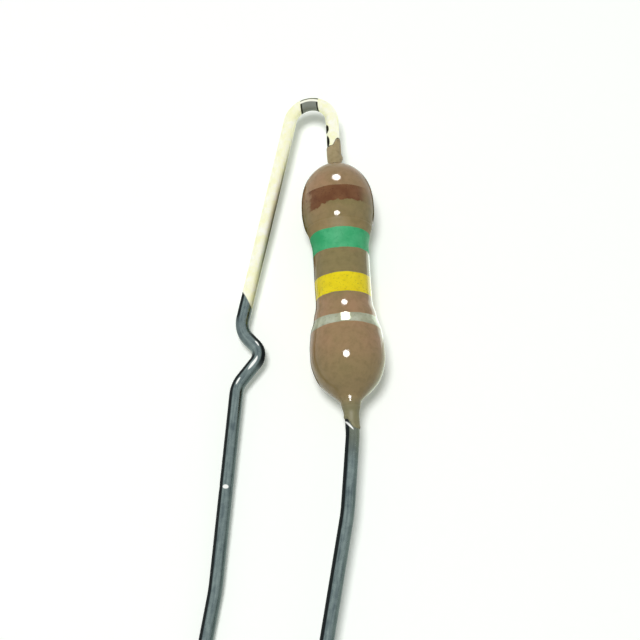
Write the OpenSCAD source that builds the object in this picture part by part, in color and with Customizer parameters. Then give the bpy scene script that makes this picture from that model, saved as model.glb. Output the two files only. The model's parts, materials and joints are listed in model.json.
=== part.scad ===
// Axial carbon film resistor, half-watt size, with its leads formed for upright mounting.
// It lies as it comes to rest: both bulbs of the body and the tip of the long lead touch
// the ground, z = 0. The body's axis runs along Y, with the hairpin bend at the +Y end.

/* [Body] */
// Diameter over the bulbs, where the lacquer covers the end caps
bulb_d = 3.3; // [3:0.05:4]
// Diameter of the barrel between the bulbs
barrel_d = 2.5; // [2.45:0.05:2.95]
// Distance between the widest points of the two bulbs
bulb_spacing = 6.6; // [6:0.1:9]
// Where the barrel starts to widen, from the middle of the body, hairpin side
widening_hairpin = 1.45; // [1:0.05:1.7]
// Where the barrel starts to widen, from the middle of the body, straight side
widening_straight = 0.95; // [0.5:0.05:1.7]
// Length of the rounded end from its widest point to the neck, hairpin side
round_end_l = 2.35; // [1.8:0.05:3]
// Length of the drop-shaped end from its widest point to the neck, straight side
drop_end_l = 2.4; // [1.9:0.05:3]
// Lacquer that crept along the wire past the neck, hairpin side
creep_hairpin_l = 1.2; // [0.5:0.05:1.4]
// Lacquer that crept along the wire past the neck, straight side
creep_straight_l = 1.1; // [0.5:0.05:1.4]
// Thickness of that crept lacquer
creep_t = 0.04; // [0.03:0.01:0.1]

/* [Inner parts] */
// Diameter of the ceramic rod
rod_d = 2.1; // [1.75:0.05:2.2]
// Thickness the carbon film is modelled with
film_t = 0.03; // [0.02:0.01:0.05]
// Wall of the pressed end caps
cap_wall = 0.22; // [0.12:0.01:0.24]
// Depth of an end cap, outside
cap_l = 2.1; // [1.6:0.1:2.4]
// Outer corner radius of an end cap
cap_corner = 0.18; // [0.1:0.02:0.3]
// Diameter of the wire's upset head, where it is welded on the cap
weld_d = 1; // [0.8:0.05:1.2]
// Height of that head
weld_h = 0.2; // [0.1:0.05:0.3]
// Advance of the spiral trimming cut in one turn
trim_pitch = 0.9; // [0.8:0.05:1.4]
// Turns of the trimming cut
trim_turns = 4; // [2:0.5:4]
// Width of the trimming cut
trim_w = 0.25; // [0.15:0.05:0.35]

/* [Colour code] */
// Middle of the first band, from the middle of the body
band_1_at = 3.54; // [3.5:0.02:3.7]
// Spacing of the three value bands
band_pitch = 2.05; // [1.5:0.05:2.1]
// Middle of the tolerance band, on the other side of the middle
tolerance_at = 2.25; // [2.15:0.05:2.6]
// Width of the first band
band_1_w = 0.75; // [0.5:0.05:1]
// Width of the second and third bands
band_w = 1; // [0.5:0.05:1.2]
// Width of the tolerance band
tolerance_w = 0.6; // [0.4:0.05:0.8]
// Depth of the paint, let into the lacquer
band_t = 0.03; // [0.02:0.01:0.05]

/* [Leads] */
// Wire diameter
wire_d = 0.6; // [0.5:0.05:0.8]
// Spacing of the two legs where they run side by side
lead_pitch = 5; // [4:0.1:7]
// Lean of both legs away from the body's axis
leg_lean = 13; // [8:1:15]
// Reach of the level tips from the middle of the body, measured along the legs
tip_reach = 17.6; // [15:0.1:24]

/* [Hairpin and kink of the long lead] */
// Bend radius of the hairpin, on the wire's centre line
hairpin_r = 1; // [0.8:0.05:1.3]
// Straight wire between the neck and the hairpin
hairpin_rise = 2.35; // [1.4:0.05:4]
// Place of the kink's outer bend along the body, below its middle
kink_at = 1.55; // [0.5:0.05:3]
// Slope of the kink's inward run
kink_in_slope = 40; // [20:1:45]
// Slope of the kink's outward run
kink_out_slope = 42; // [25:1:45]
// Length of the kink's inward run, between its bends
kink_in_l = 0.45; // [0.3:0.05:1]
// Length of the kink's outward run, between its bends
kink_out_l = 0.95; // [0.6:0.05:1.5]
// Bend radius of the kink's outer bend
kink_outer_r = 1.1; // [0.8:0.05:2]
// Bend radius of the kink's inner bend
kink_inner_r = 0.6; // [0.5:0.05:1.2]
// Bend radius where the kink runs into the leg
kink_exit_r = 1.15; // [0.8:0.05:2]
// Slope of the long leg just below the kink
long_leg_slope = 8; // [5:1:12]
// Length of that stretch
long_leg_l = 8.1; // [5:0.1:9]

/* [Straight lead] */
// Slope of the short leg just below the neck
short_leg_slope = 7.5; // [3:0.5:8]
// Length of that stretch
short_leg_l = 2.7; // [1:0.1:3]
// Radius of the easy bends in both legs
easy_r = 8; // [4:1:15]

/* [View] */
// Sub-part to build

/* [Hidden] */
$fn = 72;

lacquer_colour = [0.56, 0.50, 0.37];
brown_colour = [0.43, 0.29, 0.20];
green_colour = [0.27, 0.67, 0.47];
yellow_colour = [0.87, 0.80, 0.15];
silver_colour = [0.68, 0.68, 0.58];
wire_colour = [0.55, 0.57, 0.57];
cap_colour = [0.70, 0.71, 0.70];
film_colour = [0.20, 0.20, 0.21];
rod_colour = [0.93, 0.92, 0.88];

// Body of revolution, measured along its own axis from the middle, hairpin side positive
bulb_r = bulb_d / 2;
barrel_r = barrel_d / 2;
bulb_at = bulb_spacing / 2;
wire_r = wire_d / 2;
bend_thinning = 0.01;
bend_reach = 0.08;
creep_r = wire_r + creep_t;
neck_hairpin = bulb_at + round_end_l;
neck_straight = bulb_at + drop_end_l;
creep_end_hairpin = neck_hairpin + creep_hairpin_l;
creep_end_straight = neck_straight + creep_straight_l;

// Inner stack: the film is on the rod, and the caps are pressed over the film
rod_r = rod_d / 2;
film_r = rod_r + film_t;
cap_r = film_r + cap_wall;
cap_end = bulb_at + cap_l / 2;
rod_l = 2 * (cap_end - cap_wall);
rod_chamfer = 0.08;

// Fullness of the two rounded ends: r = neck + (bulb - neck) * (1 - t^along)^across
round_along = 2.9;
round_across = 0.8;
drop_along = 3.7;
drop_across = 1.5;
end_steps = 14;
waist_steps = 10;
trim_steps = 24;

// ---- Outline of the lacquer, as [radius, distance along the axis] ----

function rounded_end(length, along, across) =
    [for (i = [0:end_steps])
        let (t = sin(90 * i / end_steps))
        [creep_r + (bulb_r - creep_r) * pow(1 - pow(t, along), across), bulb_at + t * length]];

function waist(start) =
    [for (i = [0:waist_steps])
        let (t = i / waist_steps)
        [barrel_r + (bulb_r - barrel_r) * (1 - cos(180 * t)) / 2, start + t * (bulb_at - start)]];

// The tail of lacquer thins out over its last stretch
function creep(end) = [[creep_r, end - 3 * creep_t], [wire_r + creep_t / 2, end]];

// One half of the outline, from the middle of the barrel out to the end of the tail
function half_outline(start, length, along, across, end) =
    concat(waist(start),
           [for (i = [1:end_steps]) rounded_end(length, along, across)[i]],
           creep(end));

function mirrored(points) = [for (i = [len(points) - 1:-1:0]) [points[i][0], -points[i][1]]];

module body_outline() {
    polygon(concat(
        [[0, -creep_end_straight]],
        mirrored(half_outline(widening_straight, drop_end_l, drop_along, drop_across,
                              creep_end_straight)),
        half_outline(widening_hairpin, round_end_l, round_along, round_across,
                     creep_end_hairpin),
        [[0, creep_end_hairpin]]));
}

// The same outline drawn in by the depth of the paint
module painted_layer() {
    difference() {
        body_outline();
        translate([-band_t, 0])
            body_outline();
    }
}

module band_profile(middle, width) {
    intersection() {
        painted_layer();
        translate([barrel_r / 2, middle - width / 2])
            square([bulb_r, width]);
    }
}

// Outer shape of an end cap, with the corner drawn round
module cap_outline() {
    polygon(concat(
        [[0, cap_end - cap_l], [cap_r, cap_end - cap_l]],
        [for (i = [0:6])
            let (a = 90 * i / 6)
            [cap_r - cap_corner * (1 - cos(a)), cap_end - cap_corner * (1 - sin(a))]],
        [[0, cap_end]]));
}

// Everything the lacquer closes in, on one side
module buried_outline() {
    cap_outline();
    translate([0, cap_end])
        square([weld_d / 2, weld_h]);
    square([wire_r, creep_end_hairpin + creep_end_straight]);
}

// ---- Bend programs, as rows of [straight run, turn, bend radius] ----
// A state is [reach toward the long leg, distance along the axis, heading]. Heading 0 points
// along the axis to the hairpin side, and a positive turn goes round toward the long leg.

function run_on(s, run) = [s[0] + run * sin(s[2]), s[1] + run * cos(s[2]), s[2]];
function turn_by(s, turn, r) =
    let (side = sign(turn), next = s[2] + turn)
    [s[0] + side * r * (cos(s[2]) - cos(next)), s[1] - side * r * (sin(s[2]) - sin(next)), next];
function follow(s, program, i = 0) =
    i == len(program) ? s
    : follow(turn_by(run_on(s, program[i][0]), program[i][1], program[i][2]), program, i + 1);
function across_legs(s) = s[0] * cos(leg_lean) + s[1] * sin(leg_lean);
function along_legs(s) = s[0] * sin(leg_lean) - s[1] * cos(leg_lean);

// Straight lead: out of the cap, then two easy bends until it leans as far as the long leg
straight_start = [0, -cap_end, 180];
straight_bends = [
    [creep_end_straight - cap_end, -short_leg_slope, easy_r / 2],
    [short_leg_l, short_leg_slope - leg_lean, easy_r]];
straight_bent = follow(straight_start, straight_bends);
straight_last_run = tip_reach - along_legs(straight_bent);

// Long lead below the outer bend of the kink. Its shape is fixed by the slopes alone, so
// following it from nowhere says where that bend has to be for the legs to keep their pitch.
kink_bends = [
    [kink_in_l, -kink_in_slope - kink_out_slope, kink_inner_r],
    [kink_out_l, kink_out_slope - long_leg_slope, kink_exit_r],
    [long_leg_l, long_leg_slope - leg_lean, easy_r]];
kink_heading = 180 + kink_in_slope;
kink_offset = across_legs(follow([0, 0, kink_heading], kink_bends));
leg_offset = across_legs(straight_bent) + lead_pitch;
kink_exit_across = leg_offset - kink_offset;
kink_centre_v = -kink_at;
kink_centre_u = (kink_exit_across - kink_centre_v * sin(leg_lean)
                 + kink_outer_r * cos(kink_heading + leg_lean)) / cos(leg_lean);

// The run down from the hairpin is the common tangent of the hairpin and that outer bend
hairpin_start = neck_hairpin + hairpin_rise;
tangent_u = kink_centre_u - hairpin_r;
tangent_v = kink_centre_v - hairpin_start;
tangent_l = norm([tangent_u, tangent_v]);
descent_heading = acos((kink_outer_r - hairpin_r) / tangent_l) - atan2(tangent_v, tangent_u);
descent_l = sqrt(pow(tangent_l, 2) - pow(kink_outer_r - hairpin_r, 2));

hairpin_bends = concat([
    [hairpin_start - cap_end, descent_heading, hairpin_r],
    [descent_l, kink_heading - descent_heading, kink_outer_r]],
    kink_bends);
hairpin_bent = follow([0, cap_end, 0], hairpin_bends);
hairpin_last_run = tip_reach - along_legs(hairpin_bent);
hairpin_tip = run_on(hairpin_bent, hairpin_last_run);
straight_tip = run_on(straight_bent, straight_last_run);

// ---- Rest pose: rolled about the body's axis until the long lead's tip touches down ----

function roll_sine(steps, s = 0) =
    steps == 0 ? s
    : roll_sine(steps - 1,
                (bulb_r - wire_r * sqrt(1 - pow(s * sin(leg_lean), 2))) / hairpin_tip[0]);
roll = asin(roll_sine(4));

// Middle of the part on the ground, so that the origin is under the middle of its box
left_edge = -hairpin_tip[0] * cos(roll) - wire_r * sqrt(1 - pow(sin(leg_lean) * cos(roll), 2));
front_edge = straight_tip[1] - wire_r * sin(leg_lean);
back_edge = hairpin_start + hairpin_r + wire_r;
middle = [(left_edge + bulb_r) / 2, (front_edge + back_edge) / 2];

// From the form plane, with the long leg toward -X and the hairpin toward +Y, to the ground
module laid_down() {
    translate([-middle[0], -middle[1], bulb_r])
        rotate([0, -roll, 0])
            children();
}

// A profile drawn as [radius, distance along the axis], turned about the body's axis
module turned() {
    laid_down()
        rotate([-90, 0, 0])
            rotate_extrude()
                children();
}

// ---- Wire ----

// A bent stretch is a hair thinner than the wire, as bending draws it, and both its ends
// reach into the straight runs beside it
module bend_piece(turn, r) {
    reach = asin(bend_reach / r);
    mirror([turn < 0 ? 1 : 0, 0, 0])
        translate([-r, 0, 0])
            rotate([0, 0, -reach])
                rotate_extrude(angle = abs(turn) + 2 * reach, $fn = 144)
                    translate([r, 0])
                        circle(r = wire_r - bend_thinning, $fn = 48);
}

module past_bend(turn, r) {
    side = turn < 0 ? 1 : -1;
    translate([side * r, 0, 0])
        rotate([0, 0, turn])
            translate([-side * r, 0, 0])
                children();
}

module straight_piece(run) {
    rotate([-90, 0, 0])
        cylinder(h = run, r = wire_r, $fn = 48);
}

module formed_wire(program, last_run, i = 0) {
    if (i == len(program)) {
        straight_piece(last_run);
    } else {
        straight_piece(program[i][0]);
        translate([0, program[i][0], 0]) {
            bend_piece(program[i][1], program[i][2]);
            past_bend(program[i][1], program[i][2])
                formed_wire(program, last_run, i + 1);
        }
    }
}

module lead(program, last_run) {
    translate([0, cap_end, 0]) {
        formed_wire(program, last_run);
        rotate([-90, 0, 0])
            cylinder(h = weld_h, r = weld_d / 2);
    }
}

// ---- Sub-parts ----

module ceramic_core() {
    color(rod_colour)
        turned()
            polygon([
                [0, -rod_l / 2], [rod_r - rod_chamfer, -rod_l / 2],
                [rod_r, rod_chamfer - rod_l / 2], [rod_r, rod_l / 2 - rod_chamfer],
                [rod_r - rod_chamfer, rod_l / 2], [0, rod_l / 2]]);
}

// Cutter for the trimming spiral: a square thread as one closed solid
module trim_spiral() {
    steps = trim_turns * trim_steps;
    reach = [rod_r - film_t, film_r + 2 * film_t];
    points = [for (i = [0:steps])
        let (a = 360 * i / trim_steps, z = trim_pitch * (i / trim_steps - trim_turns / 2))
        for (k = [0:3])
            let (r = reach[k == 1 || k == 2 ? 1 : 0])
            [r * cos(a), r * sin(a), z + trim_w * (k < 2 ? -0.5 : 0.5)]];
    sides = [for (i = [0:steps - 1], k = [0:3])
        let (a = 4 * i + k, b = 4 * i + (k + 1) % 4)
        each [[a, b, a + 4], [b, b + 4, a + 4]]];
    polyhedron(points, concat([[3, 2, 1, 0]], sides, [[4 * steps, 4 * steps + 1,
        4 * steps + 2, 4 * steps + 3]]));
}

module resistive_film() {
    color(film_colour)
        laid_down()
            rotate([-90, 0, 0])
                difference() {
                    cylinder(h = rod_l, r = film_r, center = true);
                    cylinder(h = rod_l + 1, r = rod_r, center = true);
                    trim_spiral();
                }
}

module end_cap() {
    difference() {
        cap_outline();
        translate([0, -1])
            square([film_r, rod_l / 2 + 1]);
    }
}

module end_cap_hairpin_side() {
    color(cap_colour)
        turned()
            end_cap();
}

module end_cap_straight_side() {
    color(cap_colour)
        turned()
            mirror([0, 1])
                end_cap();
}

module lead_hairpin() {
    color(wire_colour)
        laid_down()
            lead(hairpin_bends, hairpin_last_run);
}

module lead_straight() {
    color(wire_colour)
        laid_down()
            rotate([0, 0, 180])
                lead(straight_bends, straight_last_run);
}

module coating() {
    color(lacquer_colour)
        turned()
            difference() {
                body_outline();
                translate([0, -cap_end])
                    square([film_r, 2 * cap_end]);
                buried_outline();
                mirror([0, 1])
                    buried_outline();
                band_profile(band_1_at, band_1_w);
                band_profile(band_1_at - band_pitch, band_w);
                band_profile(band_1_at - 2 * band_pitch, band_w);
                band_profile(-tolerance_at, tolerance_w);
            }
}

module band_1_brown() {
    color(brown_colour)
        turned()
            band_profile(band_1_at, band_1_w);
}

module band_2_green() {
    color(green_colour)
        turned()
            band_profile(band_1_at - band_pitch, band_w);
}

module band_3_yellow() {
    color(yellow_colour)
        turned()
            band_profile(band_1_at - 2 * band_pitch, band_w);
}

module band_4_silver() {
    color(silver_colour)
        turned()
            band_profile(-tolerance_at, tolerance_w);
}

ceramic_core();
resistive_film();
end_cap_hairpin_side();
end_cap_straight_side();
lead_hairpin();
lead_straight();
coating();
band_1_brown();
band_2_green();
band_3_yellow();
band_4_silver();
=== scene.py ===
"""Axial carbon film resistor with formed leads: the finished surfaces, built round the CAD part.

The lacquered body is skinned from its turned outline, the colour bands are rings of paint cast
onto that skin, and both leads are swept along the same bend programs as the CAD.
"""

import json
from math import acos, atan2, cos, degrees, hypot, pi, radians, sin, sqrt

import bpy
import numpy as np
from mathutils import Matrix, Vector


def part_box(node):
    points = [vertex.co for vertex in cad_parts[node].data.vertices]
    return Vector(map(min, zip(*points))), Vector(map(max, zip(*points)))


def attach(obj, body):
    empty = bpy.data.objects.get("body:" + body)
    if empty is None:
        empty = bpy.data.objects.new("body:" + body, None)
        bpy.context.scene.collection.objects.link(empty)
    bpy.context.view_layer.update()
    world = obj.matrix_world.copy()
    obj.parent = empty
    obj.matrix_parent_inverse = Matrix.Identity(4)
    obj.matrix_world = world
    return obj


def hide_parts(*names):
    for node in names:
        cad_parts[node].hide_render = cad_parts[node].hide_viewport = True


MM = 0.001

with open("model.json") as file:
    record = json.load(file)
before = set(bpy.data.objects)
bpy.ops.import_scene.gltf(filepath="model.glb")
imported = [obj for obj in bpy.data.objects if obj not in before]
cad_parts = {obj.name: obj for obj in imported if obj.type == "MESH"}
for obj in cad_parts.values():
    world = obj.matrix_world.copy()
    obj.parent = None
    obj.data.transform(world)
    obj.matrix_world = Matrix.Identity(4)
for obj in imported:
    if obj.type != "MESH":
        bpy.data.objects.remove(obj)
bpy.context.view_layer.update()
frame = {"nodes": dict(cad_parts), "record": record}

# ---- Sizes, in millimetres and degrees, as the CAD has them ----

WIRE_R = 0.3
BARREL_R = 1.25
BULB_AT = 3.3
WIDENING_HAIRPIN, WIDENING_STRAIGHT = 1.45, 0.95
ROUND_END, DROP_END = 2.35, 2.4
CREEP_HAIRPIN, CREEP_STRAIGHT = 1.2, 1.1
CREEP_R = WIRE_R + 0.04
NECK_HAIRPIN, NECK_STRAIGHT = BULB_AT + ROUND_END, BULB_AT + DROP_END
FILM_R, CAP_R, CAP_END, CAP_DEPTH = 1.08, 1.3, 4.35, 2.1
WELD_R, WELD_HEIGHT = 0.5, 0.2

LEG_LEAN, LEAD_PITCH, TIP_REACH = 13.0, 5.0, 17.6
HAIRPIN_R, HAIRPIN_START = 1.0, NECK_HAIRPIN + 2.35
KINK_AT, KINK_IN_SLOPE, KINK_OUT_SLOPE = 1.55, 40.0, 42.0
KINK_IN, KINK_OUT = 0.45, 0.95
KINK_OUTER_R, KINK_INNER_R, KINK_EXIT_R = 1.1, 0.6, 1.15
LONG_LEG_SLOPE, LONG_LEG = 8.0, 8.1
SHORT_LEG_SLOPE, SHORT_LEG = 7.5, 2.7
EASY_R = 8.0

# Each band: middle along the body, width
BROWN, GREEN, YELLOW, SILVER = (3.54, 0.75), (1.49, 1.0), (-0.56, 1.0), (-2.25, 0.6)

# ---- Sizes that only the finish has, in millimetres ----

FILLET = 0.08          # how thick the lacquer runs out from the drop end into its tail
DRIP_TO = 6.6          # how far out the last drop ran down that tail
SUNK = 0.012           # how deep the lacquer's edge is let into the wire, so that no gap shows

# Where the lacquer ends on each wire, and on the hairpin side how far and how steeply that
# changes between the wire's left and right
TAIL_HAIRPIN, TAIL_STRAIGHT = 6.77, 6.66
TAIL_REACH, TAIL_SLANT = 0.2, 3.2

PAINTED_BRIGHT_TO = 15.54   # how far from its welded head the long lead is painted white, as painted bright reflection

# ---- Where the body lies, from the CAD frame ----

coat_low, coat_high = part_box("coating")
BULB_R = (coat_high.z - coat_low.z) / 2 / MM
AXIS_X = (coat_low.x + coat_high.x) / 2 / MM
AXIS_Z = BULB_R
MIDDLE_Y = coat_high.y / MM - NECK_HAIRPIN - CREEP_HAIRPIN
leg_axis = next(m["axis"] for m in frame["record"]["mounts"] if m["name"] == "long_leg_pin")
ROLL = atan2(-leg_axis[2], -leg_axis[0])


def on_body(around, radius, along, reach=0.0):
    """Points in metres: around the body's axis (0 is straight up, a quarter turn is +X), with
    the axis moved by reach toward the long leg."""
    around, radius, along, reach = np.broadcast_arrays(around, radius, along, reach)
    return MM * np.stack([AXIS_X - reach * cos(ROLL) + radius * np.sin(around),
                          MIDDLE_Y + along,
                          AXIS_Z - reach * sin(ROLL) + radius * np.cos(around)], axis=-1)


def on_form(reach, along):
    """A point in metres on the sheet that the wires are bent in: reach is toward the long leg."""
    across, up = AXIS_X - reach * cos(ROLL), AXIS_Z - reach * sin(ROLL)
    return MM * np.array([across, MIDDLE_Y + along, up])


# ---- Small tools ----


def linear(hex_colour):
    """An sRGB hex colour as the linear colour the shaders work in."""
    channels = [int(hex_colour[i:i + 2], 16) / 255 for i in (1, 3, 5)]
    return tuple(c / 12.92 if c <= 0.04045 else ((c + 0.055) / 1.055) ** 2.4
                 for c in channels) + (1.0,)


def add(tree, kind, settings=None, inputs=None):
    """Adds a node. Settings are a dictionary, or just the operation of a math node. Inputs go by
    name or number, each a plain value, another node's output, or the node itself for the first
    output that it shows."""
    node = tree.nodes.new(kind)
    if isinstance(settings, str):
        settings = {"operation": settings}
    for name, value in (settings or {}).items():
        setattr(node, name, value)
    for key, value in (inputs or {}).items():
        socket = (node.inputs[key] if isinstance(key, int)
                  else next(s for s in node.inputs if s.name == key and s.enabled))
        if isinstance(value, bpy.types.Node):
            value = next(s for s in value.outputs if s.enabled)
        if isinstance(value, bpy.types.NodeSocket):
            tree.links.new(value, socket)
        else:
            socket.default_value = value
    return node


def new_material(name):
    """An empty node material and its tree."""
    material = bpy.data.materials.new(name)
    material.use_nodes = True
    material.node_tree.nodes.clear()
    return material, material.node_tree


def surface(tree, inputs, height, depth):
    """Ends a material: the shader, bumped by a height from 0 to 1 over a depth in metres."""
    bump = add(tree, "ShaderNodeBump", None, {"Strength": 1.0, "Distance": depth, "Height": height})
    shader = add(tree, "ShaderNodeBsdfPrincipled", None, {**inputs, "Normal": bump})
    add(tree, "ShaderNodeOutputMaterial", None, {"Surface": shader})


def put(name, data):
    """A new object in the scene for a mesh, curve, lamp or camera."""
    thing = bpy.data.objects.new(name, data)
    bpy.context.scene.collection.objects.link(thing)
    return thing


def mesh_piece(name, points, faces, material):
    """A mesh object with smooth faces, in metres in the CAD frame."""
    mesh = bpy.data.meshes.new(name)
    mesh.from_pydata([tuple(p) for p in points], [], faces)
    mesh.polygons.foreach_set("use_smooth", [True] * len(mesh.polygons))
    mesh.materials.append(material)
    return put(name, mesh)


def finish_piece(piece, slot, *nodes):
    """Puts a piece on the part's one body, in place of its CAD nodes."""
    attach(piece, "root")
    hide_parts(*nodes)


# ---- Materials ----

# An even blend that starts and ends softly
SMOOTH = {"interpolation_type": "SMOOTHSTEP"}


def layered(tree, colour, *layers):
    """Colours laid over one another in turn, each a pair of how much and which colour."""
    for amount, over in layers:
        below, over = (linear(c) if isinstance(c, str) else c for c in (colour, over))
        colour = add(tree, "ShaderNodeMix", {"data_type": "RGBA"},
                     {"Factor": amount, "A": below, "B": over})
    return colour


def on_skin(tree):
    """Object coordinates moved to the middle of the body: right, along and up, and the turn
    round the body's axis, where 0 is straight up and a quarter turn is to the right."""
    place = add(tree, "ShaderNodeTexCoord").outputs["Object"]
    middle = add(tree, "ShaderNodeMapping", None, {
        "Vector": place, "Location": (-AXIS_X * MM, -MIDDLE_Y * MM, -AXIS_Z * MM)})
    right, along, up = add(tree, "ShaderNodeSeparateXYZ", None, {0: middle}).outputs
    turn = add(tree, "ShaderNodeMath", "ARCTAN2", {0: right, 1: up})
    return middle, right, along, turn


def lacquer_colour(tree):
    """The pigment of the dipped lacquer: a rosy tan that clouds into olive patches about a
    millimetre across, paler toward the necks where the skin is thin."""
    middle, right, along, turn = on_skin(tree)
    cloud = add(tree, "ShaderNodeTexNoise", None,
                {"Vector": middle, "Scale": 1 / (1.7 * MM), "Detail": 2.0, "Roughness": 0.5})
    patch = add(tree, "ShaderNodeMapRange", None, {0: cloud, 1: 0.36, 2: 0.64})
    # The skin is rosier over the round end, from the yellow band down to the drop, and on the
    # left. Each row: the direction, where it starts and ends, and how much rosier at each
    bias = 0.0
    for toward, start, end, before, after in ((along, 3.2, 4.1, -0.4, 0.55),
                                              (along, -0.6, -1.4, 0.0, 0.85),
                                              (right, -0.2, -1.2, 0.0, 0.35)):
        rosier = add(tree, "ShaderNodeMapRange", SMOOTH,
                     {0: toward, 1: start * MM, 2: end * MM, 3: before, 4: after})
        bias = add(tree, "ShaderNodeMath", "ADD", {0: bias, 1: rosier})
    rosiness = add(tree, "ShaderNodeMath", {"operation": "MULTIPLY_ADD", "use_clamp": True},
                   {0: patch, 1: 0.6, 2: bias})
    # The drop drained last and is more olive, the other neck is thin and pale, and the run on
    # the wire past the drop is a grey olive. Each row: start, end and how much at the end
    drop, neck, run = (
        add(tree, "ShaderNodeMapRange", SMOOTH, {0: along, 1: start * MM, 2: end * MM, 4: most})
        for start, end, most in ((-3.1, -4.6, 0.7), (4.8, 5.9, 0.6), (-5.4, -6.1, 0.85)))
    mottle = add(tree, "ShaderNodeTexNoise", None,
                 {"Vector": middle, "Scale": 1 / (0.3 * MM), "Detail": 3.0, "Roughness": 0.65})
    dark = add(tree, "ShaderNodeMapRange", None, {0: mottle, 1: 0.42, 2: 0.75, 4: 0.35})
    # Painted shade: a dark line follows the lacquer's slanting edge where it meets the hairpin
    # side's wire
    sine = add(tree, "ShaderNodeMath", "SINE", {0: turn})
    slant = add(tree, "ShaderNodeMath", "MULTIPLY_ADD", {0: sine, 1: TAIL_SLANT, 2: -0.38})
    slant = add(tree, "ShaderNodeMath", "TANH", {0: slant})
    edge = add(tree, "ShaderNodeMath", "MULTIPLY_ADD", {0: slant, 1: -TAIL_REACH * MM, 2: along})
    painted_edge_shade = add(tree, "ShaderNodeMapRange", SMOOTH,
              {0: edge, 1: (TAIL_HAIRPIN - 0.08) * MM, 2: (TAIL_HAIRPIN - 0.05) * MM, 4: 0.9})
    return layered(tree, "#8a7c4f", (rosiness, "#a5835f"), (drop, "#8a7c50"), (neck, "#aea47b"),
                   (dark, "#635833"), (run, "#7f7d5d"), (painted_edge_shade, "#1c1b0c"))


def dipped_lacquer():
    """Phenolic lacquer, dipped and baked: a glossy tan skin that waves slightly, so that
    every lamp shows in it as one small bright spot on each swelling."""
    material, tree = new_material("dipped tan lacquer")
    place = add(tree, "ShaderNodeTexCoord").outputs["Object"]
    along = on_skin(tree)[2]
    wave = add(tree, "ShaderNodeTexNoise", None,
               {"Vector": place, "Scale": 1 / (0.7 * MM), "Detail": 1.0})
    # The hollow beside the round end and the run on the wire dried duller than the rest
    hollow_at, glossy, dull, dull_run = 1.9, 0.07, 0.6, 0.5
    off = add(tree, "ShaderNodeMath", "SUBTRACT", {0: along, 1: hollow_at * MM})
    off = add(tree, "ShaderNodeMath", "ABSOLUTE", {0: off})
    rough = add(tree, "ShaderNodeMapRange", SMOOTH,
                {0: off, 1: 0.44 * MM, 2: 0.56 * MM, 3: dull, 4: glossy})
    on_run = add(tree, "ShaderNodeMapRange", SMOOTH,
                 {0: along, 1: -5.84 * MM, 2: -5.94 * MM, 4: dull_run})
    rough = add(tree, "ShaderNodeMath", "MAXIMUM", {0: rough, 1: on_run})
    surface(tree, {"Base Color": lacquer_colour(tree), "Roughness": rough, "IOR": 1.5,
                   "Specular IOR Level": 0.3}, wave, 0.008 * MM)
    return material


def still_covered(tree, middle_at, width):
    """Where a worn band still covers the lacquer. Its lower edge is ragged and lifts off on the
    left, and it is rubbed thin on both sides of the top."""
    middle, _, along, turn = on_skin(tree)
    noise = add(tree, "ShaderNodeTexNoise", None,
                {"Vector": middle, "Scale": 1 / (0.28 * MM), "Detail": 3.0, "Roughness": 0.6})
    uneven = add(tree, "ShaderNodeMath", "SUBTRACT", {0: noise, 1: 0.5})
    low_edge = (middle_at - width / 2) * MM
    low_edge = add(tree, "ShaderNodeMapRange", SMOOTH,
                   {0: turn, 1: -0.9, 2: -0.1, 3: low_edge - 0.26 * MM, 4: low_edge})
    low_edge = add(tree, "ShaderNodeMath", "MULTIPLY_ADD", {0: uneven, 1: 0.5 * MM, 2: low_edge})
    inside = add(tree, "ShaderNodeMath", "SUBTRACT", {0: along, 1: low_edge})
    inside = add(tree, "ShaderNodeMapRange", SMOOTH, {0: inside, 1: -0.04 * MM, 2: 0.06 * MM})
    # On the right it is rubbed from the top round to the side, on the left in a ragged patch
    onto = add(tree, "ShaderNodeMapRange", SMOOTH, {0: turn, 1: 0.55, 2: 0.9})
    past = add(tree, "ShaderNodeMapRange", SMOOTH, {0: turn, 1: 1.6, 2: 2.1, 3: 1.0, 4: 0.0})
    on_right = add(tree, "ShaderNodeMath", "MULTIPLY", {0: onto, 1: past})
    off = add(tree, "ShaderNodeMath", "MULTIPLY_ADD", {0: uneven, 1: 0.8, 2: turn})
    off = add(tree, "ShaderNodeMath", "ADD", {0: off, 1: 1.35})
    off = add(tree, "ShaderNodeMath", "ABSOLUTE", {0: off})
    on_left = add(tree, "ShaderNodeMapRange", SMOOTH, {0: off, 1: 0.55, 2: 0.3})
    rubbed_and_glint = add(tree, "ShaderNodeMath", "MAXIMUM", {0: on_right, 1: on_left})
    left_over = add(tree, "ShaderNodeMath", "MULTIPLY_ADD", {0: rubbed_and_glint, 1: -0.85, 2: 1.0})
    return add(tree, "ShaderNodeMath", "MULTIPLY", {0: inside, 1: left_over})


def band_paint(name, colour, dark, light, roughness=0.1, metallic=0.0, worn=None):
    """Marking enamel, rolled on the turning body: a glossy colour with pale clouds and dark
    pigment specks. Where it is worn, the lacquer shows; worn is that band's middle and width."""
    material, tree = new_material(name)
    middle = on_skin(tree)[0]
    grain = add(tree, "ShaderNodeTexNoise", None,
                {"Vector": middle, "Scale": 1 / (0.11 * MM), "Detail": 3.0, "Roughness": 0.7})
    cloud = add(tree, "ShaderNodeTexNoise", None,
                {"Vector": middle, "Scale": 1 / (0.5 * MM), "Detail": 2.0})
    pale = add(tree, "ShaderNodeMapRange", None, {0: cloud, 1: 0.35, 2: 0.68, 4: 0.9})
    speck = add(tree, "ShaderNodeMapRange", None, {0: grain, 1: 0.55, 2: 0.72, 4: 0.8})
    paint = layered(tree, colour, (pale, light), (speck, dark))
    if worn:
        paint = layered(tree, lacquer_colour(tree), (still_covered(tree, *worn), paint))
    surface(tree, {"Base Color": paint, "Metallic": metallic, "Roughness": roughness, "IOR": 1.5,
                   "Specular IOR Level": 0.25}, grain, 0.0015 * MM)
    return material


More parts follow.
